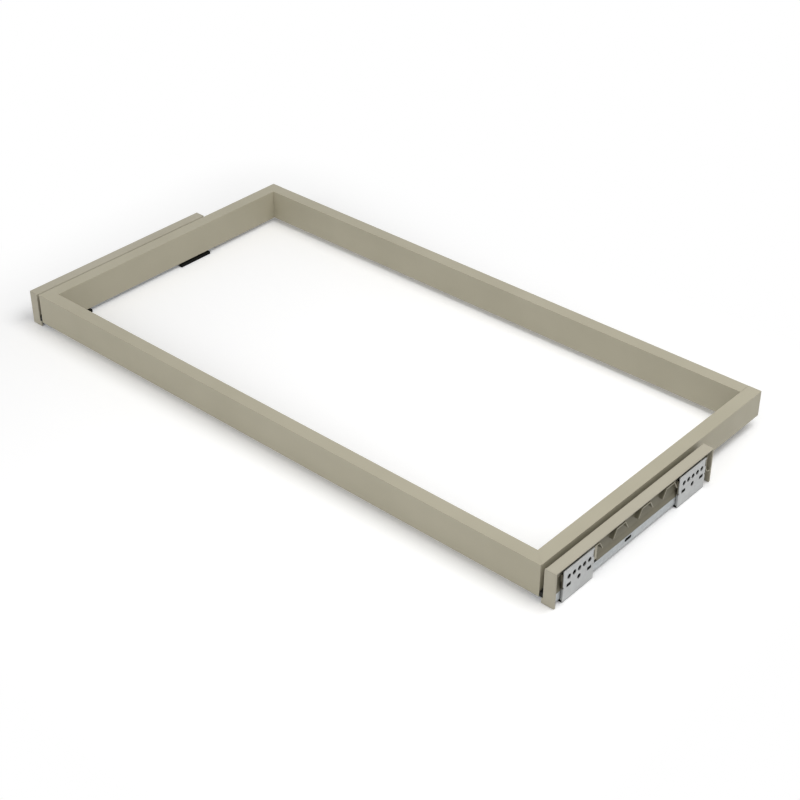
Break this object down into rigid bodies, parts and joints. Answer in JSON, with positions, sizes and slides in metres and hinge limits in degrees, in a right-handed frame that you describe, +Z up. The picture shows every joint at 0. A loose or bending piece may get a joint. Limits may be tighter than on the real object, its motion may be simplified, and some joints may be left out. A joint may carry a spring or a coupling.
{
  "type": "wardrobe pull-out frame",
  "caption": "Rectangular pull-out ring frame for a wardrobe on two concealed ball slides with moulded covers, screw-on bracket plates and closing dampers.",
  "frame": {"origin": "centre of the bottom of the bounding box, on the surface the slide units stand on", "axes": "+X to the right along the long side, +Y to the back, +Z up; the frame pulls out towards -Y"},
  "size_m": [0.964, 0.48, 0.0545],
  "materials": {
    "frame_paint": "fine satin texture",
    "cover_plastic": "fine matte grain",
    "zinc_plate": "zinc plated, satin",
    "galvanised": "galvanised sheet",
    "slide_steel": "zinc plated",
    "ball_steel": "polished",
    "cage_steel": "passivated, warm grey",
    "screw_steel": "zinc plated",
    "cast_block": "die cast, matte",
    "black_plastic": "matte black",
    "black_rubber": "matte black",
    "damper_dark": "dark satin",
    "rod_steel": "ground steel"
  },
  "bodies": {
    "slide_units": {"carrier_rail_l": "galvanised", "carrier_rail_r": "galvanised", "cabinet_rail_l": "slide_steel", "cabinet_rail_r": "slide_steel", "carrier_rivets_l": "screw_steel", "carrier_rivets_r": "screw_steel", "front_bracket_l": "zinc_plate", "front_bracket_r": "zinc_plate", "rear_bracket_l": "zinc_plate", "rear_bracket_r": "zinc_plate", "front_shoe_l": "black_plastic", "front_shoe_r": "black_plastic", "rear_shoe_l": "black_plastic", "rear_shoe_r": "black_plastic", "slot_plug_l": "black_plastic", "slot_plug_r": "black_plastic", "cover_l": "cover_plastic", "cover_r": "cover_plastic", "end_cap_l": "black_plastic", "end_cap_r": "black_plastic", "damper_tube_l": "damper_dark", "damper_tube_r": "damper_dark", "damper_holder_l": "black_plastic", "damper_holder_r": "black_plastic", "rear_buffer_l": "black_rubber", "rear_buffer_r": "black_rubber", "plunger_rod_l": "rod_steel", "plunger_rod_r": "rod_steel", "plunger_tip_l": "black_plastic", "plunger_tip_r": "black_plastic"},
    "pull_out_frame": {"front_rail": "frame_paint", "back_rail": "frame_paint", "left_rail": "frame_paint", "right_rail": "frame_paint", "front_corner_l": "cast_block", "front_corner_r": "cast_block", "rear_plug_l": "cast_block", "rear_plug_r": "cast_block", "block_screws_set": "screw_steel", "plug_screws_set": "screw_steel", "drawer_rail_l": "slide_steel", "drawer_rail_r": "slide_steel", "drawer_screws_l": "screw_steel", "drawer_screws_r": "screw_steel", "striker_l": "galvanised", "striker_r": "galvanised"},
    "mid_member_left": {"mid_rail_l": "slide_steel"},
    "outer_cage_left": {"outer_cage_l": "cage_steel", "outer_balls_l": "ball_steel"},
    "inner_cage_left": {"inner_cage_l": "cage_steel", "inner_balls_l": "ball_steel"},
    "mid_member_right": {"mid_rail_r": "slide_steel"},
    "outer_cage_right": {"outer_cage_r": "cage_steel", "outer_balls_r": "ball_steel"},
    "inner_cage_right": {"inner_cage_r": "cage_steel", "inner_balls_r": "ball_steel"}
  },
  "joints": [
    {"name": "pull_out", "type": "slide", "parent": "slide_units", "child": "pull_out_frame", "axis": [0, -1, 0], "range_m": [0, 0.3]},
    {"name": "mid_member_slide_left", "type": "slide", "parent": "slide_units", "child": "mid_member_left", "axis": [0, -1, 0], "range_m": [0, 0.15]},
    {"name": "outer_cage_slide_left", "type": "slide", "parent": "slide_units", "child": "outer_cage_left", "axis": [0, -1, 0], "range_m": [0, 0.075]},
    {"name": "inner_cage_slide_left", "type": "slide", "parent": "slide_units", "child": "inner_cage_left", "axis": [0, -1, 0], "range_m": [0, 0.225]},
    {"name": "mid_member_slide_right", "type": "slide", "parent": "slide_units", "child": "mid_member_right", "axis": [0, -1, 0], "range_m": [0, 0.15]},
    {"name": "outer_cage_slide_right", "type": "slide", "parent": "slide_units", "child": "outer_cage_right", "axis": [0, -1, 0], "range_m": [0, 0.075]},
    {"name": "inner_cage_slide_right", "type": "slide", "parent": "slide_units", "child": "inner_cage_right", "axis": [0, -1, 0], "range_m": [0, 0.225]}
  ],
  "couplings": [
    {"joint": "mid_member_slide_left", "follows": "pull_out", "ratio": 0.5},
    {"joint": "outer_cage_slide_left", "follows": "pull_out", "ratio": 0.25},
    {"joint": "inner_cage_slide_left", "follows": "pull_out", "ratio": 0.75},
    {"joint": "mid_member_slide_right", "follows": "pull_out", "ratio": 0.5},
    {"joint": "outer_cage_slide_right", "follows": "pull_out", "ratio": 0.25},
    {"joint": "inner_cage_slide_right", "follows": "pull_out", "ratio": 0.75}
  ]
}
